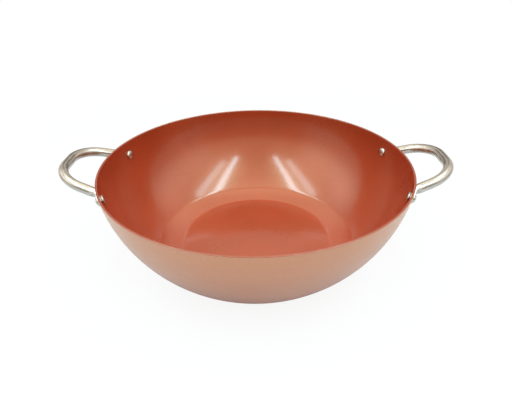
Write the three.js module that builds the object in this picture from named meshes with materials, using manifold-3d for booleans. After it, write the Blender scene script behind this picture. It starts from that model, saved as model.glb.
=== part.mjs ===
// A two-handled stir-fry pan: a pressed shell, two bent-rod loop handles and the four rivets that hold them.
// Millimetres, +Z up. The origin is the middle of the flat underside, and the handles lie along X.
import * as THREE from 'three';
import { mergeVertices } from 'three/addons/utils/BufferGeometryUtils.js';
import Module from 'manifold-3d';

// Shell
const RIM_DIAMETER = 321.4; // across the outside of the top edge
const PAN_HEIGHT = 102; // underside to top edge
const SHEET = 2; // thickness of the pressed sheet
const BASE_DIAMETER = 181; // flat underside
const BASE_CURVE_RADIUS = 31.5; // outside radius between underside and wall
const BASE_CURVE_SWEEP = 42; // degrees that the base curve turns before the wall takes over
const FLOOR_INSET = 5; // the crease round the floor lies this far inside the edge of the underside
const RING_SLOPE = 13.2; // degrees of slope where the hollow ring round the floor leaves the crease
const RIM_ROUNDING = 0.65; // each edge of the rim

// Handles
const ROD_DIAMETER = 10;
const HANDLE_REACH = 40.3; // from the rim to the outermost point of the loop
const HANDLE_TILT = 17; // degrees that the loop rises outwards
const HANDLE_DROP = 9.9; // from the rim down to the middle of the rod where a leg begins
const LEG_SET_IN = 9.1; // a leg begins this far inside its rivet
const LEG_STANDOFF = 7.3; // from the wall to the middle of the rod where a leg begins
const LEG_CONVERGENCE = 13; // degrees that each leg leans towards the other
const LOOP_CORNER_RADIUS = 34; // to the middle of the rod
const EAR_WIDTH = 10.5;
const EAR_THICKNESS = 2.6;
const EAR_LENGTH = 5; // flat ear from its rivet towards the leg
const BEND_FULLNESS = 0.4; // share of the bend's span that keeps close to the ear and to the leg

// Rivets
const RIVET_SPACING = 104; // between the two rivets of one handle
const RIVET_DROP = 15.4; // from the rim down to the rivet, on the outside of the wall
const SHANK_DIAMETER = 5.4;
const HEAD_DIAMETER = 10; // inside the pan
const HEAD_HEIGHT = 1.9;
const HEAD_EDGE = 0.4; // straight edge of the head below its dome
const TAIL_DIAMETER = 7.6; // outside, over the ear
const TAIL_HEIGHT = 1.8;

const FIT_GAP = 0.3; // clearance between pieces that touch on the real pan

// Fineness of the faceted surfaces
const SHELL_SIDES = 72;
const PROFILE_DIVISIONS = 4;
const ROD_SIDES = 16;
const EAR_STEPS = 4;
const BEND_STEPS = 7;
const CORNER_STEPS = 9;
const RIVET_SIDES = 24;
const DOME_STEPS = 5;

// The two handles, and the two ends of each: the left one is the right one turned half round.
const SIDES = [
  { name: 'right', turn: 0 },
  { name: 'left', turn: Math.PI },
];
const ENDS = [
  { name: 'front', sign: -1 },
  { name: 'rear', sign: 1 },
];

const radians = THREE.MathUtils.degToRad;
const { lerp, smoothstep } = THREE.MathUtils;
const up = new THREE.Vector3(0, 0, 1);
const wasm = await Module();
wasm.setup();

// Closed body of a geometry, with its shared corners merged and empty triangles left out.
function toSolid(geometry) {
  const bare = geometry.clone();
  bare.deleteAttribute('normal');
  bare.deleteAttribute('uv');
  const merged = mergeVertices(bare);
  const corners = merged.index.array;
  const triangles = [];
  for (let i = 0; i < corners.length; i += 3) {
    const [a, b, c] = corners.slice(i, i + 3);
    if (a !== b && b !== c && c !== a) {
      triangles.push(a, b, c);
    }
  }
  return new wasm.Manifold(new wasm.Mesh({
    numProp: 3,
    vertProperties: new Float32Array(merged.attributes.position.array),
    triVerts: new Uint32Array(triangles),
  }));
}

function cut(geometry, tools) {
  let solid = toSolid(geometry);
  for (const tool of tools) {
    solid = solid.subtract(toSolid(tool));
  }
  const mesh = solid.getMesh();
  const result = new THREE.BufferGeometry();
  result.setAttribute('position', new THREE.BufferAttribute(mesh.vertProperties, 3));
  result.setIndex(new THREE.BufferAttribute(mesh.triVerts, 1));
  result.computeVertexNormals();
  return result;
}

// Turns a profile of radius and height about the vertical.
function revolve(points, sides) {
  return new THREE.LatheGeometry(points, sides).rotateX(Math.PI / 2);
}

// The wall is one arc that carries on from the base curve and ends at the rim.
const rimRadius = RIM_DIAMETER / 2;
const baseRadius = BASE_DIAMETER / 2;
const floorRadius = baseRadius - FLOOR_INSET;
const baseSweep = radians(BASE_CURVE_SWEEP);
const wallFoot = new THREE.Vector2(
  baseRadius + BASE_CURVE_RADIUS * Math.sin(baseSweep),
  BASE_CURVE_RADIUS * (1 - Math.cos(baseSweep)),
);
const wallChord = new THREE.Vector2(rimRadius, PAN_HEIGHT).sub(wallFoot);
const wallHalfTurn = wallChord.angle() - baseSweep;
const wallRadius = wallChord.length() / (2 * Math.sin(wallHalfTurn));
const wallCentre = new THREE.Vector2(
  wallFoot.x - wallRadius * Math.sin(baseSweep),
  wallFoot.y + wallRadius * Math.cos(baseSweep),
);

// Slope of the wall at a height, on the surface that lies depth inside the outer one.
function wallSlope(height, depth) {
  return Math.acos((wallCentre.y - height) / (wallRadius - depth));
}

// Radius and height of the wall where it has a slope.
function wallPoint(slope, depth) {
  return new THREE.Vector2(
    wallCentre.x + (wallRadius - depth) * Math.sin(slope),
    wallCentre.y - (wallRadius - depth) * Math.cos(slope),
  );
}

// Outline of the shell from the middle of the underside, over the rim, to the middle of the floor.
function shellProfile() {
  const down = -Math.PI / 2;
  const rounding = Math.min(RIM_ROUNDING, SHEET / 3);
  const edge = PAN_HEIGHT - rounding;
  const innerRim = wallPoint(wallSlope(PAN_HEIGHT, SHEET), SHEET);
  const innerEdge = wallPoint(wallSlope(edge, SHEET), SHEET);
  const innerFoot = wallPoint(baseSweep, SHEET);

  // Inside, a hollow ring leaves the floor at a crease and steepens until it runs into the wall.
  const gentle = Math.tan(radians(RING_SLOPE));
  const steep = Math.tan(baseSweep);
  const run = (steep * (innerFoot.x - floorRadius) - (innerFoot.y - SHEET)) / (steep - gentle);

  const path = new THREE.Path();
  path.moveTo(0, 0);
  path.lineTo(baseRadius, 0);
  path.absarc(baseRadius, BASE_CURVE_RADIUS, BASE_CURVE_RADIUS, down, down + baseSweep);
  path.absarc(wallCentre.x, wallCentre.y, wallRadius, down + baseSweep, down + wallSlope(edge, 0));
  path.quadraticCurveTo(rimRadius, PAN_HEIGHT, rimRadius - rounding, PAN_HEIGHT);
  path.lineTo(innerRim.x + rounding, PAN_HEIGHT);
  path.quadraticCurveTo(innerRim.x, PAN_HEIGHT, innerEdge.x, innerEdge.y);
  path.absarc(
    wallCentre.x, wallCentre.y, wallRadius - SHEET,
    down + wallSlope(edge, SHEET), down + baseSweep, true,
  );
  path.quadraticCurveTo(floorRadius + run, SHEET + gentle * run, floorRadius, SHEET);
  path.lineTo(0, SHEET);

  const points = path.getPoints(PROFILE_DIVISIONS);
  return points.filter((point, i) => i === 0 || point.distanceTo(points[i - 1]) > 1e-6);
}

// Rivet places: on the outside of the wall, facing straight out of it.
const rivetSlope = wallSlope(PAN_HEIGHT - RIVET_DROP, 0);
const rivetWall = wallPoint(rivetSlope, 0);
const rivetAngle = Math.asin(RIVET_SPACING / 2 / rivetWall.x);

// A rivet place of the right handle: sign is 1 towards +Y and -1 towards -Y.
function rivetPlace(sign) {
  const point = new THREE.Vector3(rivetWall.x, 0, rivetWall.y);
  const normal = new THREE.Vector3(Math.sin(rivetSlope), 0, -Math.cos(rivetSlope));
  point.applyAxisAngle(up, sign * rivetAngle);
  normal.applyAxisAngle(up, sign * rivetAngle);
  return { point, normal, turn: new THREE.Quaternion().setFromUnitVectors(up, normal) };
}

// What a rivet's shank takes out of the sheet and of the ear.
function rivetHole(sign) {
  const radius = SHANK_DIAMETER / 2 + FIT_GAP;
  const depth = 4 * (SHEET + EAR_THICKNESS);
  const place = rivetPlace(sign);
  const hole = new THREE.CylinderGeometry(radius, radius, depth, RIVET_SIDES);
  return hole.rotateX(Math.PI / 2).applyQuaternion(place.turn).translate(...place.point);
}

// A rivet about its own axis, with height 0 on the outside of the wall and the head inside the pan.
function rivetGeometry() {
  const shank = SHANK_DIAMETER / 2;
  const head = HEAD_DIAMETER / 2;
  const tail = TAIL_DIAMETER / 2;
  const hollow = head ** 2 / (2 * Math.min(rivetWall.x, wallRadius)); // depth of the wall's curve under it
  const headSeat = -SHEET - FIT_GAP - hollow;
  const tailSeat = FIT_GAP + EAR_THICKNESS + FIT_GAP;
  const points = [];
  for (let i = 0; i <= DOME_STEPS; i += 1) {
    const angle = i / DOME_STEPS * Math.PI / 2;
    const height = HEAD_EDGE + (HEAD_HEIGHT - HEAD_EDGE) * Math.cos(angle);
    points.push(new THREE.Vector2(head * Math.sin(angle), headSeat - height));
  }
  points.push(new THREE.Vector2(head, headSeat));
  points.push(new THREE.Vector2(shank, headSeat));
  points.push(new THREE.Vector2(shank, tailSeat));
  for (let i = 0; i < DOME_STEPS; i += 1) {
    const angle = i / DOME_STEPS * Math.PI / 2;
    points.push(new THREE.Vector2(tail * Math.cos(angle), tailSeat + TAIL_HEIGHT * Math.sin(angle)));
  }
  points.push(new THREE.Vector2(0, tailSeat + TAIL_HEIGHT));
  return revolve(points, RIVET_SIDES);
}

// The loop lies in a plane that rises outwards from where the legs begin.
const rodRadius = ROD_DIAMETER / 2;
const tilt = radians(HANDLE_TILT);
const lean = radians(LEG_CONVERGENCE);
const legHalf = RIVET_SPACING / 2 - LEG_SET_IN;
const legHeight = PAN_HEIGHT - HANDLE_DROP;
const legWall = wallPoint(wallSlope(legHeight, 0), 0);
const legStart = Math.sqrt(legWall.x ** 2 - legHalf ** 2) + LEG_STANDOFF;

function onLoop(out, y) {
  return new THREE.Vector3(legStart + out * Math.cos(tilt), y, legHeight + out * Math.sin(tilt));
}

function loopDirection(out, y) {
  return onLoop(out, y).sub(onLoop(0, 0));
}

// Stations along half of the rod, from the tip of the +Y ear to the middle of the loop.
// Each has its place, its direction, and half of the rod's thickness and width there.
function rodStations() {
  const stations = [];
  const rivet = rivetPlace(1);
  const bendEnd = onLoop(0, legHalf);
  const earThick = EAR_THICKNESS / 2;
  const earWide = EAR_WIDTH / 2;

  // The ear lies flat along the wall and points at where its leg begins.
  const ear = rivet.point.clone().addScaledVector(rivet.normal, FIT_GAP + earThick);
  const along = bendEnd.clone().sub(ear).projectOnPlane(rivet.normal).normalize();

  // The ear's round end, about the rivet
  for (let i = 0; i <= EAR_STEPS; i += 1) {
    const angle = (2 * i + 1) / (2 * EAR_STEPS + 1) * Math.PI / 2;
    const point = ear.clone().addScaledVector(along, -earWide * Math.cos(angle));
    stations.push({ point, direction: along, thick: earThick, wide: earWide * Math.sin(angle) });
  }

  // The bend away from the wall, in which the flat ear rounds up into the rod
  const leg = loopDirection(Math.cos(lean), -Math.sin(lean));
  const bendStart = ear.clone().addScaledVector(along, EAR_LENGTH);
  const pull = BEND_FULLNESS * bendStart.distanceTo(bendEnd);
  const bend = new THREE.CubicBezierCurve3(
    bendStart,
    bendStart.clone().addScaledVector(along, pull),
    bendEnd.clone().addScaledVector(leg, -pull),
    bendEnd,
  );
  for (let i = 0; i <= BEND_STEPS; i += 1) {
    const t = i / BEND_STEPS;
    const rounding = smoothstep(t, 0, 1);
    stations.push({
      point: bend.getPoint(t),
      direction: bend.getTangent(t),
      thick: lerp(earThick, rodRadius, rounding),
      wide: lerp(earWide, rodRadius, rounding),
    });
  }

  // The corner of the loop, which is no rounder than its end has room for, and the middle of the end
  const end = (rimRadius + HANDLE_REACH - rodRadius - legStart) / Math.cos(tilt);
  const endHalf = legHalf - end * Math.tan(lean);
  const turn = Math.PI / 2 - lean;
  const radius = Math.min(LOOP_CORNER_RADIUS, endHalf / Math.tan(turn / 2));
  const middle = endHalf - radius * Math.tan(turn / 2);
  const corner = new THREE.EllipseCurve(end - radius, middle, radius, radius, turn, 0, true);
  for (let i = 0; i <= CORNER_STEPS; i += 1) {
    const t = i / CORNER_STEPS;
    const place = corner.getPoint(t);
    const angle = turn * (1 - t);
    stations.push({
      point: onLoop(place.x, place.y),
      direction: loopDirection(Math.sin(angle), -Math.cos(angle)),
      thick: rodRadius,
      wide: rodRadius,
    });
  }
  const point = onLoop(end, 0);
  stations.push({ point, direction: new THREE.Vector3(0, -1, 0), thick: rodRadius, wide: rodRadius });
  return stations;
}

// Ring of points round a station: a circle on the rod, and squarer the thinner the ear is.
function rodRing(station, across) {
  const power = 1 / (3 - 2 * station.thick / rodRadius);
  const side = new THREE.Vector3().crossVectors(station.direction, across);
  const ring = [];
  for (let i = 0; i < ROD_SIDES; i += 1) {
    const angle = i / ROD_SIDES * 2 * Math.PI;
    const c = Math.cos(angle);
    const s = Math.sin(angle);
    const point = station.point.clone();
    point.addScaledVector(across, station.thick * Math.sign(c) * Math.abs(c) ** power);
    point.addScaledVector(side, station.wide * Math.sign(s) * Math.abs(s) ** power);
    ring.push(point);
  }
  return ring;
}

// Skin over a row of rings, closed at both ends.
function loft(rings) {
  const sides = rings[0].length;
  const last = (rings.length - 1) * sides;
  const index = [];
  for (let start = 0; start < last; start += sides) {
    for (let j = 0; j < sides; j += 1) {
      const a = start + j;
      const b = start + (j + 1) % sides;
      index.push(a, b, a + sides, b, b + sides, a + sides);
    }
  }
  for (let j = 1; j + 1 < sides; j += 1) {
    index.push(0, j + 1, j);
    index.push(last, last + j, last + j + 1);
  }
  const geometry = new THREE.BufferGeometry().setFromPoints(rings.flat());
  geometry.setIndex(index);
  geometry.computeVertexNormals();
  return geometry;
}

// The right handle: half a rod and its mirror image, with a hole in each ear.
function handleGeometry() {
  const across = rivetPlace(1).normal;
  const half = rodStations().map((station) => {
    across.addScaledVector(station.direction, -across.dot(station.direction)).normalize();
    return rodRing(station, across);
  });
  const otherHalf = half.slice(0, -1).reverse().map(
    (ring) => ring.map((point) => new THREE.Vector3(point.x, -point.y, point.z)),
  );
  return cut(loft([...half, ...otherHalf]), ENDS.map((end) => rivetHole(end.sign)));
}

function piece(name, geometry, color, roughness, metalness) {
  const mesh = new THREE.Mesh(geometry, new THREE.MeshStandardMaterial({ color, roughness, metalness }));
  mesh.name = name;
  return mesh;
}

const pan = new THREE.Group();
const holes = SIDES.flatMap((side) => ENDS.map((end) => rivetHole(end.sign).rotateZ(side.turn)));
const shell = cut(revolve(shellProfile(), SHELL_SIDES), holes);
pan.add(piece('pan_body', shell, 0xb5553a, 0.35, 0.3));

for (const side of SIDES) {
  const group = new THREE.Group();
  group.rotation.z = side.turn;
  group.add(piece(`handle_${side.name}`, handleGeometry(), 0xc8beb4, 0.2, 1));
  for (const end of ENDS) {
    // Turning the left side about swaps its front and its rear.
    const place = rivetPlace(end.sign * Math.cos(side.turn));
    const rivet = piece(`rivet_${side.name}_${end.name}`, rivetGeometry(), 0xd2cac2, 0.2, 1);
    rivet.position.copy(place.point);
    rivet.quaternion.copy(place.turn);
    group.add(rivet);
  }
  pan.add(group);
}

export default pan;
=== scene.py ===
import math

import bpy
from mathutils import Matrix, Vector


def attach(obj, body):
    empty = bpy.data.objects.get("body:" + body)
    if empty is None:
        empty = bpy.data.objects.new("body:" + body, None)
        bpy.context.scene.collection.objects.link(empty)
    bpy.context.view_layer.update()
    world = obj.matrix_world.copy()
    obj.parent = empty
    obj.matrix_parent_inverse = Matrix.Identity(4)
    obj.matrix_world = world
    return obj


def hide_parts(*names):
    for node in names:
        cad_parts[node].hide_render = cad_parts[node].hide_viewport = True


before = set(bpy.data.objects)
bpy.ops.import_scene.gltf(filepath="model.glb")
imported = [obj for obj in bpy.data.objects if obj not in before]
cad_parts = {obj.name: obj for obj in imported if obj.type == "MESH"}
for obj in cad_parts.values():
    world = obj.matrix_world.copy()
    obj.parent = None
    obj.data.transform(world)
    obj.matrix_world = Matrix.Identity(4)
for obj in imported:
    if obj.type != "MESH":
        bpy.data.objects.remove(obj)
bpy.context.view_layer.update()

MM = 0.001
FULL_TURN = 2 * math.pi
QUARTER_TURN = math.pi / 2

# Meshes: how near points are merged, the angle from which an edge is sharp, and the points of a curve
MERGE_DISTANCE = 0.001 * MM
SHARP_ANGLE = math.radians(40)
CURVE_POINTS = 160

# Shell
SHELL_SIZES = {
    "Rim Radius": 160.7 * MM,
    "Height": 102 * MM,
    "Sheet": 2 * MM,
    "Base Radius": 90.5 * MM,
    "Base Curve Radius": 31.5 * MM,
    "Base Curve Sweep": math.radians(42),
    "Floor Radius": 85.5 * MM,
    "Floor Easing": 3 * MM,
    "Ring Slope": math.radians(13.2),
    "Rim Rounding": 0.65 * MM,
}
SHELL_SIDES = 256
FLAT_RINGS = 12
BASE_CURVE_RINGS = 14
WALL_RINGS = 44
ROUNDING_RINGS = 5
LIP_RINGS = 2
HOLLOW_RINGS = 30
CREASE_RINGS = 8

# Handles
ROD_RADIUS = 5 * MM
HANDLE_REACH = 40.3 * MM
HANDLE_TILT = math.radians(17)
HANDLE_DROP = 9.9 * MM
LEG_SET_IN = 9.1 * MM
LEG_STANDOFF = 7.3 * MM
LEG_CONVERGENCE = math.radians(13)
LOOP_CORNER_RADIUS = 34 * MM
EAR_WIDTH = 10.5 * MM
EAR_THICKNESS = 2.6 * MM
EAR_LENGTH = 5 * MM
EAR_EDGE = 1.2 * MM
EAR_EDGE_POWER = 3
BEND_FULLNESS = 0.4
ROD_SIDES = 40
EAR_STEPS = 22
BEND_STEPS = 30
LEG_STEPS = 6
CORNER_STEPS = 34

# Rivets
RIVET_SPACING = 104 * MM
RIVET_DROP = 15.4 * MM
SHANK_RADIUS = 2.7 * MM
HEAD_RADIUS = 5 * MM
HEAD_HEIGHT = 1.9 * MM
HEAD_EDGE = 0.4 * MM
TAIL_RADIUS = 3.8 * MM
TAIL_HEIGHT = 1.8 * MM
RIVET_SIDES = 64
DOME_RINGS = 16
DOME_POINTS = 64
FIT_GAP = 0.3 * MM

# Camera, fitted to the photograph's frame of 512 by 400
CAMERA_PLACE = Vector((0.0036, -0.4043, 0.2964))
CAMERA_PITCH = 0.5393
CAMERA_YAW = -0.0086
CAMERA_ROLL = -0.0144
CAMERA_LENS = 29.99
SENSOR_WIDTH = 36


class Wire:
    """One output of a node. Arithmetic on it adds Math nodes to its tree."""

    def __init__(self, net, socket):
        self.net = net
        self.socket = socket

    def sibling(self, name):
        """Another output of the same node."""
        return Wire(self.net, pick(self.socket.node.outputs, name))

    def __add__(self, other):
        return self.net.math("ADD", self, other)

    def __radd__(self, other):
        return self.net.math("ADD", other, self)

    def __sub__(self, other):
        return self.net.math("SUBTRACT", self, other)

    def __rsub__(self, other):
        return self.net.math("SUBTRACT", other, self)

    def __mul__(self, other):
        return self.net.math("MULTIPLY", self, other)

    def __rmul__(self, other):
        return self.net.math("MULTIPLY", other, self)

    def __truediv__(self, other):
        return self.net.math("DIVIDE", self, other)

    def __rtruediv__(self, other):
        return self.net.math("DIVIDE", other, self)

    def __pow__(self, other):
        return self.net.math("POWER", self, other)

    def __abs__(self):
        return self.net.math("ABSOLUTE", self)

    def sin(self):
        return self.net.math("SINE", self)

    def cos(self):
        return self.net.math("COSINE", self)

    def tan(self):
        return self.net.math("TANGENT", self)

    def acos(self):
        return self.net.math("ARCCOSINE", self)

    def sign(self):
        return self.net.math("SIGN", self)

    def round(self):
        return self.net.math("ROUND", self)

    def ramp(self, low, high):
        """0 below low, 1 above high, smooth between them."""
        return self.net.node(
            "ShaderNodeMapRange",
            {"interpolation_type": "SMOOTHSTEP"},
            {"Value": self, "From Min": low, "From Max": high},
            "Result",
        )

    def swing(self, amount):
        """Noise about 0.5 as a change to either side of 0, of half of amount at most."""
        return amount * (self - 0.5)


def pick(sockets, key):
    """A socket by its number, its identifier or its name."""
    if isinstance(key, int):
        return sockets[key]
    named = [socket for socket in sockets if key in (socket.identifier, socket.name)]
    return next((socket for socket in named if socket.enabled), named[0])


class Net:
    """A node tree, and the one way in which nodes are added to it."""

    def __init__(self, tree):
        self.tree = tree

    def node(self, kind, settings=None, inputs=None, output=0):
        """Adds a node, sets it up, fills its inputs and gives one of its outputs."""
        made = self.tree.nodes.new(kind)
        for name, value in (settings or {}).items():
            setattr(made, name, value)
        for name, value in (inputs or {}).items():
            socket = pick(made.inputs, name)
            for each in value if isinstance(value, list) else [value]:
                if isinstance(each, Wire):
                    self.tree.links.new(each.socket, socket)
                else:
                    socket.default_value = each
        if made.outputs:
            return Wire(self, pick(made.outputs, output))

    def math(self, operation, *values):
        return self.node("ShaderNodeMath", {"operation": operation}, dict(enumerate(values)))

    def vector(self, operation, *values):
        inputs = dict(enumerate(values))
        return self.node("ShaderNodeVectorMath", {"operation": operation}, inputs, "Vector")

    def scaled(self, vector, amount):
        inputs = {"Vector": vector, "Scale": amount}
        return self.node("ShaderNodeVectorMath", {"operation": "SCALE"}, inputs, "Vector")

    def split(self, vector):
        x = self.node("ShaderNodeSeparateXYZ", {}, {"Vector": vector}, "X")
        return x, x.sibling("Y"), x.sibling("Z")

    def joined(self, x, y, z):
        return self.node("ShaderNodeCombineXYZ", {}, {"X": x, "Y": y, "Z": z})

    def mix(self, factor, a, b):
        """A colour between two colours."""
        return self.node(
            "ShaderNodeMix",
            {"data_type": "RGBA", "blend_type": "MIX"},
            {"Factor_Float": factor, "A_Color": a, "B_Color": b},
            "Result_Color",
        )

    def noise(self, place, scale, detail=2.0):
        """Smooth noise about 0.5, with features of about 1 / scale metres."""
        inputs = {"Vector": place, "Scale": scale, "Detail": detail}
        return self.node("ShaderNodeTexNoise", {}, inputs, "Fac")

    def cells(self, place, scale):
        """A random number from 0 to 1 for each cell of about 1 / scale metres."""
        colour = self.node("ShaderNodeTexVoronoi", {}, {"Vector": place, "Scale": scale}, "Color")
        return self.node("ShaderNodeSeparateColor", {}, {"Color": colour}, "Red")

    def bump(self, height):
        """A normal from heights in metres."""
        return self.node("ShaderNodeBump", {}, {"Height": height, "Distance": 1.0}, "Normal")


def colour(red, green, blue):
    """A colour as it looks on screen, from 0 to 255, in the linear values that shaders take."""
    def linear(value):
        share = value / 255
        return share / 12.92 if share <= 0.04045 else ((share + 0.055) / 1.055) ** 2.4
    return (linear(red), linear(green), linear(blue), 1.0)


def new_material(name):
    made = bpy.data.materials.new(name)
    made.use_nodes = True
    made.node_tree.nodes.clear()
    return made, Net(made.node_tree)


def close(net, shader):
    """Ends a material in its surface shader."""
    net.node("ShaderNodeOutputMaterial", {}, {"Surface": shader})


# Lining: its colours (deep, warm, flake), its patterns in features per metre, its relief and its zones of
# painted shade
LINING_COLOURS = (colour(177, 51, 17), colour(185, 56, 20), colour(242, 128, 65))
# The lining over the rim, in paler colours: painted highlight from the lamps above
RIM_PAINTED_HIGHLIGHT_COLOURS = (colour(184, 74, 54), colour(194, 84, 63), colour(238, 160, 125))
DARK_FLAKE = colour(115, 29, 12)
SHADED_LINING = colour(132, 30, 13)
WARM_SHEEN = colour(255, 249, 194)
LINING_CLOUDS = 16.0
LINING_FLAKES = 1700.0
LINING_GRAIN = 700.0
LINING_PEEL = 330.0
LINING_SWAY = 24.0
PEEL_HEIGHT = 0.0035 * MM
SWAY_HEIGHT = 0.09 * MM
BRIGHT_FLAKE_SHARE = 0.1
DARK_FLAKE_SHARE = 0.06
FLOOR_ZONE = (80 * MM, 86 * MM)
RIM_ZONE = (60 * MM, 100 * MM)
FLOOR_SHADE = 0.2
RIM_SHADE = 0.28
FLOOR_COAT_LOSS = 0.1


def lining_material(name, deep, warm, flake):
    """Glossy ceramic lining: copper-orange, with fine bright flakes and a faint orange-peel skin."""
    made, net = new_material(name)
    place = net.node("ShaderNodeTexCoord", {}, {}, "Object")
    x, y, z = net.split(place)
    reach = (x * x + y * y) ** 0.5
    cloud = net.noise(place, LINING_CLOUDS)
    sparkle = net.cells(place, LINING_FLAKES)
    grain = net.noise(place, LINING_GRAIN, 1.0)
    body = net.mix(cloud.ramp(0.3, 0.7), deep, warm)
    body = net.mix(sparkle.ramp(0.75, 1.0) * BRIGHT_FLAKE_SHARE, body, flake)
    body = net.mix((1 - sparkle).ramp(0.8, 1.0) * DARK_FLAKE_SHARE, body, DARK_FLAKE)
    # Painted shade: the flat floor and the top of the wall are painted a little darker.
    on_floor = 1 - reach.ramp(*FLOOR_ZONE)
    near_rim = z.ramp(*RIM_ZONE)
    body = net.mix(FLOOR_SHADE * on_floor + RIM_SHADE * near_rim, body, SHADED_LINING)
    peel = net.noise(place, LINING_PEEL, 1.0) * PEEL_HEIGHT
    sway = net.noise(place, LINING_SWAY, 0.0) * on_floor * SWAY_HEIGHT
    shader = net.node("ShaderNodeBsdfPrincipled", {}, {
        "Base Color": body,
        "Roughness": 0.3 + grain.swing(0.1) + cloud.swing(0.08),
        "Metallic": 0.06 * sparkle.ramp(0.6, 1.0),
        "Specular IOR Level": 0.82,
        "Specular Tint": WARM_SHEEN,
        "Coat Weight": 0.93 + cloud.swing(0.1) - FLOOR_COAT_LOSS * on_floor,
        "Coat Roughness": 0.12,
        "Coat IOR": 1.5,
        "Normal": net.bump(peel + sway),
    })
    close(net, shader)
    return made


# Lacquer: its colours, darker low down as painted shade, its patterns in features per metre, its relief
# and how much of each is mixed in
LACQUER_LOW_PAINTED_SHADE = colour(172, 93, 67)
LACQUER_HIGH = colour(205, 131, 93)
LACQUER_CLOUD = colour(205, 134, 99)
LACQUER_FLAKE = colour(228, 198, 172)
LACQUER_LINE = colour(155, 106, 86)
LACQUER_TOP = 105 * MM
LACQUER_CLOUDS = 11.0
LACQUER_FLAKES = 1500.0
TURNING_LINES = 1400
TURNING_WAVER = 3
TURNING_HEIGHT = 0.0025 * MM
LACQUER_CLOUD_SHARE = 0.35
LACQUER_FLAKE_SHARE = 0.16
LACQUER_LINE_SHARE = 0.12


def lacquer_material():
    """Satin metallic lacquer outside: pale copper-tan, with fine turning lines round the pan."""
    made, net = new_material("satin_copper_lacquer")
    place = net.node("ShaderNodeTexCoord", {}, {}, "Object")
    x, y, z = net.split(place)
    reach = (x * x + y * y) ** 0.5
    cloud = net.noise(place, LACQUER_CLOUDS)
    sparkle = net.cells(place, LACQUER_FLAKES)
    turned = net.joined(reach * TURNING_LINES, z * TURNING_LINES, cloud * TURNING_WAVER)
    lines = net.noise(turned, 1.0, 3.0)
    # Painted shade: the lacquer is darker towards the bottom, where the wall faces down to the floor
    body = net.mix(z.ramp(0.0, LACQUER_TOP), LACQUER_LOW_PAINTED_SHADE, LACQUER_HIGH)
    body = net.mix(cloud.ramp(0.35, 0.7) * LACQUER_CLOUD_SHARE, body, LACQUER_CLOUD)
    body = net.mix(sparkle.ramp(0.75, 1.0) * LACQUER_FLAKE_SHARE, body, LACQUER_FLAKE)
    body = net.mix(lines.ramp(0.55, 0.8) * LACQUER_LINE_SHARE, body, LACQUER_LINE)
    shader = net.node("ShaderNodeBsdfPrincipled", {}, {
        "Base Color": body,
        "Roughness": 0.42 + lines.swing(0.1) + cloud.swing(0.06),
        "Metallic": 0.3 + 0.25 * sparkle.ramp(0.6, 1.0),
        "Coat Weight": 0.55 + cloud.swing(0.2),
        "Coat Roughness": 0.24,
        "Coat IOR": 1.5,
        "Normal": net.bump(lines * TURNING_HEIGHT),
    })
    close(net, shader)
    return made


# Rods and rivets: their colours, their patterns in features per metre and their relief
ROD_DEEP = colour(176, 166, 160)
ROD_PALE = colour(192, 182, 176)
ROD_LINE = colour(141, 130, 122)
ROD_LINE_SHARE = 0.12
ROD_HAZE = 120.0
LINES_ROUND_ROD = 5200
LINES_ALONG_ROD = 60
ROD_LINE_HEIGHT = 0.00015 * MM
RIVET_DEEP = colour(185, 176, 170)
RIVET_PALE = colour(205, 198, 193)
RIVET_HAZE = 420.0
RIVET_SCRATCHES = (2600.0, 500.0, 2600.0)
SCRATCH_HEIGHT = 0.0015 * MM


def rod_material():
    """Polished stainless rod, with faint drawing lines along it."""
    made, net = new_material("polished_rod")
    u, v, _ = net.split(net.node("ShaderNodeUVMap", {"uv_map": "UVMap"}))
    place = net.node("ShaderNodeTexCoord", {}, {}, "Object")
    drawn = net.noise(net.joined(u * LINES_ROUND_ROD, v * LINES_ALONG_ROD, 0.0), 1.0, 3.0)
    haze = net.noise(place, ROD_HAZE)
    body = net.mix(haze.ramp(0.3, 0.75), ROD_DEEP, ROD_PALE)
    body = net.mix(drawn.ramp(0.55, 0.85) * ROD_LINE_SHARE, body, ROD_LINE)
    shader = net.node("ShaderNodeBsdfPrincipled", {}, {
        "Base Color": body,
        "Roughness": 0.25 + drawn.swing(0.06) + haze.swing(0.05),
        "Metallic": 1.0,
        "Normal": net.bump(drawn * ROD_LINE_HEIGHT),
    })
    close(net, shader)
    return made


def rivet_material():
    """Polished rivet heads, with light scratches."""
    made, net = new_material("polished_rivet")
    place = net.node("ShaderNodeTexCoord", {}, {}, "Object")
    haze = net.noise(place, RIVET_HAZE)
    scratches = net.noise(net.vector("MULTIPLY", place, RIVET_SCRATCHES), 1.0, 3.0)
    body = net.mix(haze.ramp(0.3, 0.7), RIVET_DEEP, RIVET_PALE)
    shader = net.node("ShaderNodeBsdfPrincipled", {}, {
        "Base Color": body,
        "Roughness": 0.2 + scratches.swing(0.08) + haze.swing(0.06),
        "Metallic": 1.0,
        "Normal": net.bump(scratches * SCRATCH_HEIGHT),
    })
    close(net, shader)
    return made


SOCKETS = {float: "NodeSocketFloat", int: "NodeSocketInt", Vector: "NodeSocketVector"}


def new_tree(name, sizes, materials, starts_from_mesh=False):
    """A geometry tree with a named input for each size and each material."""
    tree = bpy.data.node_groups.new(name, "GeometryNodeTree")
    face = tree.interface
    face.new_socket("Geometry", in_out="OUTPUT", socket_type="NodeSocketGeometry")
    if starts_from_mesh:
        face.new_socket("Path", in_out="INPUT", socket_type="NodeSocketGeometry")
    for label, value in sizes.items():
        face.new_socket(label, in_out="INPUT", socket_type=SOCKETS[type(value)])
    for label in materials:
        face.new_socket(label, in_out="INPUT", socket_type="NodeSocketMaterial")
    net = Net(tree)
    entry = tree.nodes.new("NodeGroupInput")
    given = {socket.name: Wire(net, socket) for socket in entry.outputs if socket.name}
    return net, given


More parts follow.
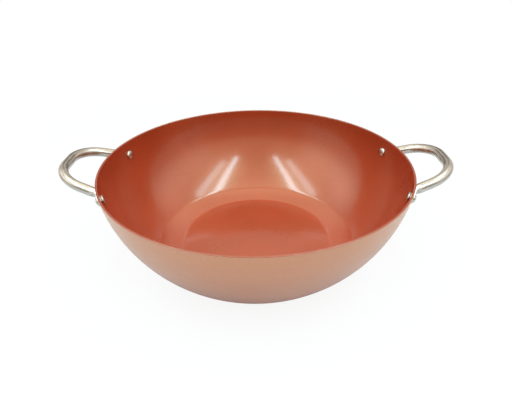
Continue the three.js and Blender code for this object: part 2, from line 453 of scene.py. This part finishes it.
def end_tree(net, surface, coats):
    """Merges the seams and poles, smooths, and ends in plain meshes with their materials."""
    inputs = {"Geometry": surface, "Distance": MERGE_DISTANCE}
    merged = net.node("GeometryNodeMergeByDistance", {}, inputs)
    smooth = net.node("GeometryNodeSetShadeSmooth", {}, {0: merged})
    result = net.node("GeometryNodeRealizeInstances", {}, {"Geometry": smooth})
    for material, selection in coats:
        inputs = {"Geometry": result, "Material": material}
        if selection is not None:
            inputs["Selection"] = selection
        result = net.node("GeometryNodeSetMaterial", {}, inputs)
    net.node("NodeGroupOutput", {}, {0: result})


def grid(net, columns, rows):
    """A flat grid to be wrapped, and how far across and along it a point lies, from 0 to 1."""
    inputs = {"Size X": 1.0, "Size Y": 1.0, "Vertices X": columns, "Vertices Y": rows}
    mesh = net.node("GeometryNodeMeshGrid", {}, inputs, "Mesh")
    x, y, _ = net.split(net.node("GeometryNodeInputPosition"))
    return mesh, x + 0.5, y + 0.5


def turned_band(net, outline, rings, sides, zone):
    """An outline of radius (X) and height (Z), turned once about the vertical and marked with its zone."""
    mesh, across, along = grid(net, sides + 1, rings + 1)
    inputs = {"Curves": outline, "Factor": along}
    point = net.node("GeometryNodeSampleCurve", {"mode": "FACTOR"}, inputs, "Position")
    inputs = {"Vector": point, "Angle": across * FULL_TURN}
    point = net.node("ShaderNodeVectorRotate", {"rotation_type": "Z_AXIS"}, inputs)
    band = net.node("GeometryNodeSetPosition", {}, {"Geometry": mesh, "Position": point})
    return net.node(
        "GeometryNodeStoreNamedAttribute",
        {"data_type": "INT", "domain": "FACE"},
        {"Geometry": band, "Name": "zone", "Value": zone},
    )


def line(net, start, end):
    return net.node("GeometryNodeCurvePrimitiveLine", {"mode": "POINTS"}, {"Start": start, "End": end})


def arc(net, start, middle, end):
    inputs = {"Resolution": CURVE_POINTS, "Start": start, "Middle": middle, "End": end}
    return net.node("GeometryNodeCurveArc", {"mode": "POINTS"}, inputs, "Curve")


def blend_curve(net, start, corner, end):
    """A curve that leaves start towards corner and reaches end from it."""
    inputs = {"Resolution": CURVE_POINTS, "Start": start, "Middle": corner, "End": end}
    return net.node("GeometryNodeCurveQuadraticBezier", {}, inputs, "Curve")


OUTSIDE, EDGE, INSIDE = 0, 1, 2


def shell_tree():
    """The pressed shell, as one outline of lines and arcs that is turned about the vertical."""
    sizes = {**SHELL_SIZES, "Sides": SHELL_SIDES}
    net, given = new_tree("pressed_shell", sizes, ["Lacquer", "Edge", "Lining"])
    rim, height, sheet = given["Rim Radius"], given["Height"], given["Sheet"]
    base, floor, easing = given["Base Radius"], given["Floor Radius"], given["Floor Easing"]
    curve, sweep = given["Base Curve Radius"], given["Base Curve Sweep"]
    rounding, sides = given["Rim Rounding"], given["Sides"]

    def at(radius, level):
        return net.joined(radius, 0.0, level)

    # The wall is one arc that carries on from the base curve and ends at the rim.
    foot_r = base + curve * sweep.sin()
    foot_z = curve * (1 - sweep.cos())
    chord_r = rim - foot_r
    chord_z = height - foot_z
    half_turn = net.math("ARCTAN2", chord_z, chord_r) - sweep
    wall = (chord_r ** 2 + chord_z ** 2) ** 0.5 / (2 * half_turn.sin())
    centre_r = foot_r - wall * sweep.sin()
    centre_z = foot_z + wall * sweep.cos()

    def wall_slope(level, depth):
        return ((centre_z - level) / (wall - depth)).acos()

    def wall_point(slope, depth):
        radius = wall - depth
        return centre_r + radius * slope.sin(), centre_z - radius * slope.cos()

    def wall_arc(first, last, depth):
        middle = (first + last) * 0.5
        return arc(net, *(at(*wall_point(slope, depth)) for slope in (first, middle, last)))

    edge = height - rounding
    outer_top = wall_slope(edge, 0.0)
    inner_top = wall_slope(edge, sheet)
    inner_rim, _ = wall_point(wall_slope(height, sheet), sheet)
    inner_foot_r, inner_foot_z = wall_point(sweep, sheet)

    # Inside, a hollow ring runs from an eased crease round the floor, and steepens towards the wall.
    slope = given["Ring Slope"]
    ring_r = floor + easing * slope.cos()
    ring_z = sheet + easing * slope.sin()
    gentle = slope.tan()
    steep = sweep.tan()
    run = (steep * (inner_foot_r - ring_r) - (inner_foot_z - ring_z)) / (steep - gentle)

    half_sweep = sweep * 0.5
    base_middle = at(base + curve * half_sweep.sin(), curve * (1 - half_sweep.cos()))
    outer_foot = at(foot_r, foot_z)
    inner_foot = at(inner_foot_r, inner_foot_z)
    inner_edge = at(*wall_point(inner_top, sheet))
    outer_flat = at(rim - rounding, height)
    inner_flat = at(inner_rim + rounding, height)
    ring_foot = at(ring_r, ring_z)
    floor_edge = at(floor - easing, sheet)
    outer_edge = at(*wall_point(outer_top, 0.0))
    hollow_corner = at(ring_r + run, ring_z + gentle * run)
    bands = [
        (line(net, at(0.0, 0.0), at(base, 0.0)), FLAT_RINGS, OUTSIDE),
        (arc(net, at(base, 0.0), base_middle, outer_foot), BASE_CURVE_RINGS, OUTSIDE),
        (wall_arc(sweep, outer_top, 0.0), WALL_RINGS, OUTSIDE),
        (blend_curve(net, outer_edge, at(rim, height), outer_flat), ROUNDING_RINGS, EDGE),
        (line(net, outer_flat, inner_flat), LIP_RINGS, EDGE),
        (blend_curve(net, inner_flat, at(inner_rim, height), inner_edge), ROUNDING_RINGS, EDGE),
        (wall_arc(inner_top, sweep, sheet), WALL_RINGS, INSIDE),
        (blend_curve(net, inner_foot, hollow_corner, ring_foot), HOLLOW_RINGS, INSIDE),
        (blend_curve(net, ring_foot, at(floor, sheet), floor_edge), CREASE_RINGS, INSIDE),
        (line(net, floor_edge, at(0.0, sheet)), FLAT_RINGS, INSIDE),
    ]
    surface = net.node("GeometryNodeJoinGeometry", {}, {0: [
        turned_band(net, outline, rings, sides, zone) for outline, rings, zone in bands
    ]})
    settings = {"data_type": "INT"}
    zone = net.node("GeometryNodeInputNamedAttribute", settings, {"Name": "zone"}, "Attribute")

    def in_zone(number):
        settings = {"data_type": "INT", "operation": "EQUAL"}
        return net.node("FunctionNodeCompare", settings, {"A_INT": zone, "B_INT": number})

    end_tree(net, surface, [
        (given["Lacquer"], in_zone(OUTSIDE)),
        (given["Edge"], in_zone(EDGE)),
        (given["Lining"], in_zone(INSIDE)),
    ])
    return net.tree


def rivet_tree(sizes):
    """A rivet turned about its own axis, then set in its place with its tail facing outwards."""
    net, given = new_tree("rivet", {**sizes, "Place": Vector(), "Facing": Vector()}, ["Polish"])
    head, shank, tail = given["Head Radius"], given["Shank Radius"], given["Tail Radius"]
    head_seat, tail_seat = given["Head Seat"], given["Tail Seat"]
    shoulder = head_seat - given["Head Edge"]

    def at(radius, level):
        return net.joined(radius, 0.0, level)

    def dome(first, radius, rise, level):
        """A quarter of an ellipse, from the angle first onwards."""
        round_line = net.node("GeometryNodeCurveArc", {"mode": "RADIUS"}, {
            "Resolution": DOME_POINTS,
            "Radius": 1.0,
            "Start Angle": first,
            "Sweep Angle": QUARTER_TURN,
        }, "Curve")
        return net.node("GeometryNodeTransform", {}, {
            "Geometry": round_line,
            "Translation": net.joined(0.0, 0.0, level),
            "Rotation": (QUARTER_TURN, 0.0, 0.0),
            "Scale": net.joined(radius, rise, 1.0),
        })

    bands = [
        (dome(-QUARTER_TURN, head, given["Head Height"] - given["Head Edge"], shoulder), DOME_RINGS),
        (line(net, at(head, shoulder), at(head, head_seat)), 1),
        (line(net, at(head, head_seat), at(shank, head_seat)), 1),
        (line(net, at(shank, head_seat), at(shank, tail_seat)), 1),
        (line(net, at(shank, tail_seat), at(tail, tail_seat)), 1),
        (dome(0.0, tail, given["Tail Height"], tail_seat), DOME_RINGS),
    ]
    surface = net.node("GeometryNodeJoinGeometry", {}, {0: [
        turned_band(net, outline, rings, given["Sides"], 0) for outline, rings in bands
    ]})
    turn = net.node("FunctionNodeAlignRotationToVector", {"axis": "Z"}, {"Vector": given["Facing"]})
    placed = net.node("GeometryNodeTransform", {}, {
        "Geometry": surface, "Translation": given["Place"], "Rotation": turn,
    })
    end_tree(net, placed, [(given["Polish"], None)])
    return net.tree


def rod_tree():
    """A rod that follows a row of stations: round where it is thick, and a flat bar where it is thin."""
    sizes = {"Rod Radius": ROD_RADIUS, "Sides": ROD_SIDES}
    net, given = new_tree("bent_rod", sizes, ["Polish"], starts_from_mesh=True)
    path = given["Path"]
    settings = {"component": "MESH"}
    count = net.node("GeometryNodeAttributeDomainSize", settings, {"Geometry": path}, "Point Count")
    mesh, around, along = grid(net, given["Sides"] + 1, count)
    station = (along * (count - 1)).round()

    def at_station(value):
        settings = {"data_type": "FLOAT_VECTOR", "domain": "POINT"}
        inputs = {"Geometry": path, "Value": value, "Index": station}
        return net.node("GeometryNodeSampleIndex", settings, inputs)

    def named(label):
        settings = {"data_type": "FLOAT_VECTOR"}
        return net.node("GeometryNodeInputNamedAttribute", settings, {"Name": label}, "Attribute")

    middle = at_station(net.node("GeometryNodeInputPosition"))
    forward = at_station(named("forward"))
    out = at_station(named("out"))
    side = net.vector("CROSS_PRODUCT", forward, out)
    thick, wide, run = net.split(at_station(named("halves")))
    squareness = 1 / (3 - 2 * thick / given["Rod Radius"])
    # The last column has the very angle of the first, so that the seam closes.
    column = (around * given["Sides"]).round()
    angle = net.math("MODULO", column, given["Sides"]) * FULL_TURN / given["Sides"]
    c = angle.cos()
    s = angle.sin()
    point = net.vector("ADD", middle, net.scaled(out, thick * c.sign() * abs(c) ** squareness))
    point = net.vector("ADD", point, net.scaled(side, wide * s.sign() * abs(s) ** squareness))
    unrolled = net.joined(around * FULL_TURN * given["Rod Radius"], run, 0.0)
    mapped = net.node(
        "GeometryNodeStoreNamedAttribute",
        {"data_type": "FLOAT2", "domain": "CORNER"},
        {"Geometry": mesh, "Name": "UVMap", "Value": unrolled},
    )
    surface = net.node("GeometryNodeSetPosition", {}, {"Geometry": mapped, "Position": point})
    end_tree(net, surface, [(given["Polish"], None)])
    return net.tree


def made_by(tree, name, values, start=None):
    """A plain mesh piece made by a tree with the given inputs, and from a starting mesh if it has one."""
    source = bpy.data.objects.new(name + "_start", start or bpy.data.meshes.new(name + "_start"))
    bpy.context.scene.collection.objects.link(source)
    maker = source.modifiers.new("maker", "NODES")
    maker.node_group = tree
    items = tree.interface.items_tree
    inputs = {item.name: item.identifier for item in items if item.in_out == "INPUT"}
    for label, value in values.items():
        maker[inputs[label]] = value
    depsgraph = bpy.context.evaluated_depsgraph_get()
    mesh = bpy.data.meshes.new_from_object(
        source.evaluated_get(depsgraph), preserve_all_data_layers=True, depsgraph=depsgraph,
    )
    source.modifiers.remove(maker)
    bpy.data.objects.remove(source)
    mesh.name = name
    mesh.set_sharp_from_angle(angle=SHARP_ANGLE)
    piece = bpy.data.objects.new(name, mesh)
    bpy.context.scene.collection.objects.link(piece)
    return piece


# The wall's arc in numbers, for what stands on it
rim_radius = SHELL_SIZES["Rim Radius"]
pan_height = SHELL_SIZES["Height"]
sheet = SHELL_SIZES["Sheet"]
base_curve = SHELL_SIZES["Base Curve Radius"]
base_sweep = SHELL_SIZES["Base Curve Sweep"]
foot = Vector((
    SHELL_SIZES["Base Radius"] + base_curve * math.sin(base_sweep),
    base_curve * (1 - math.cos(base_sweep)),
))
chord = Vector((rim_radius, pan_height)) - foot
half_turn = math.atan2(chord.y, chord.x) - base_sweep
wall_radius = chord.length / (2 * math.sin(half_turn))
wall_centre = foot + wall_radius * Vector((-math.sin(base_sweep), math.cos(base_sweep)))


def outer_slope(level):
    return math.acos((wall_centre.y - level) / wall_radius)


def outer_reach(level):
    return wall_centre.x + wall_radius * math.sin(outer_slope(level))


rivet_level = pan_height - RIVET_DROP
rivet_slope = outer_slope(rivet_level)
rivet_reach = outer_reach(rivet_level)
rivet_angle = math.asin(RIVET_SPACING / 2 / rivet_reach)


def rivet_place(side, end):
    """Where a rivet goes through the outside of the wall, and the way it faces there."""
    angle = end * rivet_angle if side > 0 else math.pi - end * rivet_angle
    turn = Matrix.Rotation(angle, 3, "Z")
    facing = turn @ Vector((math.sin(rivet_slope), 0, -math.cos(rivet_slope)))
    return turn @ Vector((rivet_reach, 0, rivet_level)), facing


# The head sits in the hollow of the wall and the tail on the ear, with the fit gap under both.
hollow = HEAD_RADIUS ** 2 / (2 * min(rivet_reach, wall_radius))
rivet_sizes = {
    "Head Radius": HEAD_RADIUS,
    "Head Height": HEAD_HEIGHT,
    "Head Edge": HEAD_EDGE,
    "Head Seat": -sheet - FIT_GAP - hollow,
    "Shank Radius": SHANK_RADIUS,
    "Tail Radius": TAIL_RADIUS,
    "Tail Height": TAIL_HEIGHT,
    "Tail Seat": FIT_GAP + EAR_THICKNESS + FIT_GAP,
    "Sides": RIVET_SIDES,
}


def eased(t):
    """A share from 0 to 1 that starts and ends level."""
    return t * t * (3 - 2 * t)


def half_rod():
    """Stations from the tip of the rear ear of the right handle to the middle of its loop.

    Each has its place, its direction, half of its thickness and half of its width.
    """
    stations = []
    place, normal = rivet_place(1, 1)
    ear_thick = EAR_THICKNESS / 2
    ear_wide = EAR_WIDTH / 2
    leg_half = RIVET_SPACING / 2 - LEG_SET_IN
    leg_level = pan_height - HANDLE_DROP
    leg_start = math.sqrt(outer_reach(leg_level) ** 2 - leg_half ** 2) + LEG_STANDOFF

    def on_loop(out, y):
        x = leg_start + out * math.cos(HANDLE_TILT)
        z = leg_level + out * math.sin(HANDLE_TILT)
        return Vector((x, y, z))

    def loop_direction(out, y):
        return on_loop(out, y) - on_loop(0, 0)

    # The ear lies flat along the wall, points at where its leg begins, and ends round with eased edges.
    bend_end = on_loop(0, leg_half)
    ear = place + normal * (FIT_GAP + ear_thick)
    along = bend_end - ear
    along = (along - normal * along.dot(normal)).normalized()
    for i in range(EAR_STEPS + 1):
        angle = i / EAR_STEPS * QUARTER_TURN
        inset = ear_wide * (1 - math.cos(angle))
        ease = min(1.0, inset / EAR_EDGE)
        thick = ear_thick * (1 - (1 - ease) ** EAR_EDGE_POWER) ** (1 / EAR_EDGE_POWER)
        point = ear - along * ear_wide * math.cos(angle)
        stations.append((point, along, thick, ear_wide * math.sin(angle)))

    # The bend away from the wall, in which the flat ear rounds up into the rod
    leg = loop_direction(math.cos(LEG_CONVERGENCE), -math.sin(LEG_CONVERGENCE))
    bend_start = ear + along * EAR_LENGTH
    pull = BEND_FULLNESS * (bend_end - bend_start).length
    a, b, c, d = bend_start, bend_start + along * pull, bend_end - leg * pull, bend_end
    for i in range(BEND_STEPS + 1):
        t = i / BEND_STEPS
        r = 1 - t
        point = r ** 3 * a + 3 * r * r * t * b + 3 * r * t * t * c + t ** 3 * d
        tangent = r * r * (b - a) + 2 * r * t * (c - b) + t * t * (d - c)
        share = eased(t)
        thick = ear_thick + (ROD_RADIUS - ear_thick) * share
        wide = ear_wide + (ROD_RADIUS - ear_wide) * share
        stations.append((point, tangent.normalized(), thick, wide))

    # The leg, the corner of the loop and its straight end
    end = (rim_radius + HANDLE_REACH - ROD_RADIUS - leg_start) / math.cos(HANDLE_TILT)
    end_half = leg_half - end * math.tan(LEG_CONVERGENCE)
    turn = QUARTER_TURN - LEG_CONVERGENCE
    radius = min(LOOP_CORNER_RADIUS, end_half / math.tan(turn / 2))
    middle = end_half - radius * math.tan(turn / 2)
    corner = []
    for i in range(CORNER_STEPS + 1):
        angle = turn * (1 - i / CORNER_STEPS)
        point = on_loop(end - radius + radius * math.cos(angle), middle + radius * math.sin(angle))
        direction = loop_direction(math.sin(angle), -math.cos(angle)).normalized()
        corner.append((point, direction, ROD_RADIUS, ROD_RADIUS))
    leg_end, leg_direction, *_ = corner[0]
    for i in range(1, LEG_STEPS):
        stations.append((bend_end.lerp(leg_end, i / LEG_STEPS), leg_direction, ROD_RADIUS, ROD_RADIUS))
    stations += corner
    stations.append((on_loop(end, 0), Vector((0, -1, 0)), ROD_RADIUS, ROD_RADIUS))
    return stations


def rod_path(side):
    """The whole row of stations of one handle as a line mesh that carries them as attributes."""
    out = rivet_place(1, 1)[1]
    half = []
    for point, forward, thick, wide in half_rod():
        out = (out - forward * out.dot(forward)).normalized()
        half.append((point, forward, out, thick, wide))
    mirror = Matrix.Diagonal((1, -1, 1))
    other = [(mirror @ p, -(mirror @ f), mirror @ o, t, w) for p, f, o, t, w in reversed(half[:-1])]
    rows = half + other
    turn = Matrix.Rotation(0 if side > 0 else math.pi, 3, "Z")
    run = [0.0]
    for (a, *_), (b, *_) in zip(rows, rows[1:]):
        run.append(run[-1] + (b - a).length)
    mesh = bpy.data.meshes.new("rod_path")
    mesh.from_pydata([turn @ row[0] for row in rows], [(i, i + 1) for i in range(len(rows) - 1)], [])
    columns = {
        "forward": [turn @ row[1] for row in rows],
        "out": [turn @ row[2] for row in rows],
        "halves": [Vector((row[3], row[4], length)) for row, length in zip(rows, run)],
    }
    for label, vectors in columns.items():
        layer = mesh.attributes.new(label, "FLOAT_VECTOR", "POINT")
        layer.data.foreach_set("vector", [number for vector in vectors for number in vector])
    return mesh


def dress(piece, node):
    """Hides the solid that a piece replaces, and ties the piece to the root body."""
    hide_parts(node)
    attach(piece, "root")


lining = lining_material("copper_ceramic_lining", *LINING_COLOURS)
# The lining over the rim is a paler copy of the lining: painted highlight
edge = lining_material("lining_over_the_rim_painted_highlight", *RIM_PAINTED_HIGHLIGHT_COLOURS)
lacquer = lacquer_material()
rod_polish = rod_material()
rivet_polish = rivet_material()

shell = made_by(shell_tree(), "shell", {
    **SHELL_SIZES, "Sides": SHELL_SIDES, "Lacquer": lacquer, "Edge": edge, "Lining": lining,
})
dress(shell, "pan_body")

rods = rod_tree()
rivets = rivet_tree(rivet_sizes)
for side_name, side in (("right", 1), ("left", -1)):
    values = {"Rod Radius": ROD_RADIUS, "Sides": ROD_SIDES, "Polish": rod_polish}
    handle = made_by(rods, side_name + "_handle", values, rod_path(side))
    dress(handle, "handle_" + side_name)
    for end_name, end in (("front", -1), ("rear", 1)):
        place, facing = rivet_place(side, end)
        values = {**rivet_sizes, "Place": place, "Facing": facing, "Polish": rivet_polish}
        rivet = made_by(rivets, f"{side_name}_{end_name}_rivet", values)
        dress(rivet, f"rivet_{side_name}_{end_name}")


# Floor: white to the eye, with a faint shadow that is stronger where it is mirrored
FLOOR_LEVEL = -0.2 * MM
FLOOR_HALF = 4.0
FLOOR_PAINT = (0.85, 0.85, 0.85, 1.0)
SHADOW_REACH = (0.25, 0.8)
FLOOR_SHADOW = 0.1
MIRRORED_SHADOW = 0.9

# Strip lights overhead, a little cool, and a little brighter on the right
STRIP_LEVEL = 1.1
STRIP_COLOUR = (0.58, 0.87, 1.0)
STRIP_LEAN = 0.04

# Each pair of strips: name, distance out from the middle, splay, width, length, place along Y, brightness
STRIPS = (
    ("bright", 0.55, math.radians(6), 0.115, 1.65, -0.385, 14.5),
    ("pale", 0.815, math.radians(8), 0.16, 1.1, -0.45, 5.8),
)

# How bright the studio is in reflections: near the floor, part of the way up, high up and at the ceiling
STUDIO_SIDES = (0.78, 2.1, 1.25, 1.6)
STUDIO_BACK = (0.95, 0.93, 1.6, 2.13)
STUDIO_FRONT = (0.4, 1.1, 1.56, 2.13)

# Where one brightness gives way to the next, as the Z of a direction
LOW_RISE = (0.28, 0.4)
HIGH_RISE = (0.62, 0.8)
SIDE_LOW_RISE = (0.2, 0.45)
SIDE_HIGH_RISE = (0.5, 0.7)
CEILING_RISE = (0.82, 0.91)
ZENITH = (0.97, 0.99)
ZENITH_DIP = 0.63

# Where the back begins, as the Y of a direction, and the sides and the dark flanks of the back, as its X
BACK_BEGINS = (-0.1, 0.1)
SIDES_BEGIN = (0.66, 0.98)
SIDES_LEAN_FORWARD = 0.15
SIDES_LEAN_LEFT = 0.14
FLANKS_BEGIN = (0.1, 0.22)
FLANKS_END = (0.4, 0.6)
FLANKS_TOP = (0.56, 0.66)
FLANKS_DARKENING = 0.74
NEAR_ZERO = 0.0001

# The tint of reflections, warmest at the front and at the ceiling
STUDIO_PLAIN = (1.0, 0.965, 0.86, 1.0)
STUDIO_WARM = (1.0, 0.985, 0.78, 1.0)
SIDES_PLAINNESS = 0.7
WHITE = (1.0, 1.0, 1.0, 1.0)

# Scattered light, which comes more from above and from the back than from the sides
AMBIENT_LOW = 0.315
AMBIENT_RISE = 0.65
AMBIENT_RISES = (0.4, 0.9)
AMBIENT_TO_BACK = 0.2
AMBIENT_TO_SIDES = 0.36


def floor_material():
    """White to the eye and in reflections, with the pan's shadow; white paint for scattered light."""
    made, net = new_material("pale_floor")
    x, y, _ = net.split(net.node("ShaderNodeTexCoord", {}, {}, "Object"))
    near = 1 - ((x * x + y * y) ** 0.5).ramp(*SHADOW_REACH)
    camera = net.node("ShaderNodeLightPath", {}, {}, "Is Camera Ray")
    share = near * (camera * FLOOR_SHADOW + (1 - camera) * MIRRORED_SHADOW)
    paint = net.node("ShaderNodeBsdfDiffuse", {}, {"Color": FLOOR_PAINT})
    shade = net.node("ShaderNodeBsdfDiffuse", {}, {"Color": net.joined(share, share, share)})
    glow = net.node("ShaderNodeEmission", {}, {"Strength": 1 - share})
    seen_floor = net.node("ShaderNodeAddShader", {}, {0: glow, 1: shade})
    seen = camera + camera.sibling("Is Glossy Ray") + camera.sibling("Is Transmission Ray")
    close(net, net.node("ShaderNodeMixShader", {}, {0: seen, 1: paint, 2: seen_floor}))
    return made


def add_floor():
    mesh = bpy.data.meshes.new("floor")
    half = FLOOR_HALF
    corners = [(-half, -half), (half, -half), (half, half), (-half, half)]
    mesh.from_pydata([(x, y, FLOOR_LEVEL) for x, y in corners], [], [(0, 1, 2, 3)])
    mesh.materials.append(floor_material())
    floor = bpy.data.objects.new("floor", mesh)
    bpy.context.scene.collection.objects.link(floor)


def add_world():
    """Surroundings that are white to the eye; reflections and scattered light depend on the direction."""
    world = bpy.data.worlds.new("studio")
    world.use_nodes = True
    world.node_tree.nodes.clear()
    bpy.context.scene.world = world
    net = Net(world.node_tree)
    x, y, z = net.split(net.node("ShaderNodeTexCoord", {}, {}, "Generated"))
    camera = net.node("ShaderNodeLightPath", {}, {}, "Is Camera Ray")
    glossy = camera.sibling("Is Glossy Ray")
    seen = camera + camera.sibling("Is Transmission Ray")

    level_reach = (x * x + y * y + NEAR_ZERO) ** 0.5
    off_middle = abs(x) / level_reach
    to_side = ((abs(x) - SIDES_LEAN_FORWARD * y) / level_reach).ramp(*SIDES_BEGIN)
    to_back = y.ramp(*BACK_BEGINS)
    to_flanks = off_middle.ramp(*FLANKS_BEGIN) * (1 - off_middle.ramp(*FLANKS_END))
    flanks = to_flanks * (1 - z.ramp(*FLANKS_TOP))
    low_rise = z.ramp(*LOW_RISE)
    high_rise = z.ramp(*HIGH_RISE)
    ceiling_rise = z.ramp(*CEILING_RISE)

    def rising(levels, first, second):
        """The brightness of one side of the studio, from the floor up to the ceiling."""
        low, middle, high, ceiling = levels
        return low + (middle - low) * first + (high - middle) * second + (ceiling - high) * ceiling_rise

    back = rising(STUDIO_BACK, low_rise, high_rise) * (1 - FLANKS_DARKENING * flanks)
    front = rising(STUDIO_FRONT, low_rise, high_rise)
    sides = rising(STUDIO_SIDES, z.ramp(*SIDE_LOW_RISE), z.ramp(*SIDE_HIGH_RISE))
    sides = sides * (1 - SIDES_LEAN_LEFT * x)
    mirrored = to_side * sides + (1 - to_side) * (to_back * back + (1 - to_back) * front)
    mirrored = mirrored - z.ramp(*ZENITH) * ZENITH_DIP
    ambient = AMBIENT_LOW + AMBIENT_RISE * z.ramp(*AMBIENT_RISES)
    ambient = ambient * (1 + AMBIENT_TO_BACK * y) * (1 - AMBIENT_TO_SIDES * abs(x))
    strength = seen + glossy * mirrored + (1 - seen - glossy) * ambient

    warm_walls = (1 - to_back * (1 - high_rise)) * (1 - SIDES_PLAINNESS * to_side)
    warm = ceiling_rise + (1 - ceiling_rise) * warm_walls
    tint = net.mix(seen, net.mix(warm, STUDIO_PLAIN, STUDIO_WARM), WHITE)
    light = net.node("ShaderNodeBackground", {}, {"Color": tint, "Strength": strength})
    net.node("ShaderNodeOutputWorld", {}, {"Surface": light})


def add_strips():
    for name, out, splay, width, length, back, brightness in STRIPS:
        for side in (1, -1):
            lamp = bpy.data.lights.new(name + "_strip", "AREA")
            lamp.shape = "RECTANGLE"
            lamp.size = width
            lamp.size_y = length
            lamp.color = STRIP_COLOUR
            lamp.energy = (1 + STRIP_LEAN * side) * brightness * math.pi * width * length
            strip = bpy.data.objects.new(lamp.name, lamp)
            strip.location = (side * out, back, STRIP_LEVEL)
            strip.rotation_euler.z = -side * splay
            strip.visible_camera = False
            bpy.context.scene.collection.objects.link(strip)


def add_camera():
    data = bpy.data.cameras.new("camera")
    data.lens = CAMERA_LENS
    data.sensor_width = SENSOR_WIDTH
    camera = bpy.data.objects.new("camera", data)
    forward = Vector((
        math.sin(CAMERA_YAW) * math.cos(CAMERA_PITCH),
        math.cos(CAMERA_YAW) * math.cos(CAMERA_PITCH),
        -math.sin(CAMERA_PITCH),
    ))
    level_right = Vector((math.cos(CAMERA_YAW), -math.sin(CAMERA_YAW), 0))
    level_up = level_right.cross(forward)
    right = math.cos(CAMERA_ROLL) * level_right + math.sin(CAMERA_ROLL) * level_up
    up = right.cross(forward)
    turn = Matrix((right, up, -forward)).transposed()
    camera.matrix_world = Matrix.Translation(CAMERA_PLACE) @ turn.to_4x4()
    bpy.context.scene.collection.objects.link(camera)
    bpy.context.scene.camera = camera


add_floor()
add_world()
add_strips()
add_camera()
bpy.context.scene.view_settings.view_transform = "Standard"
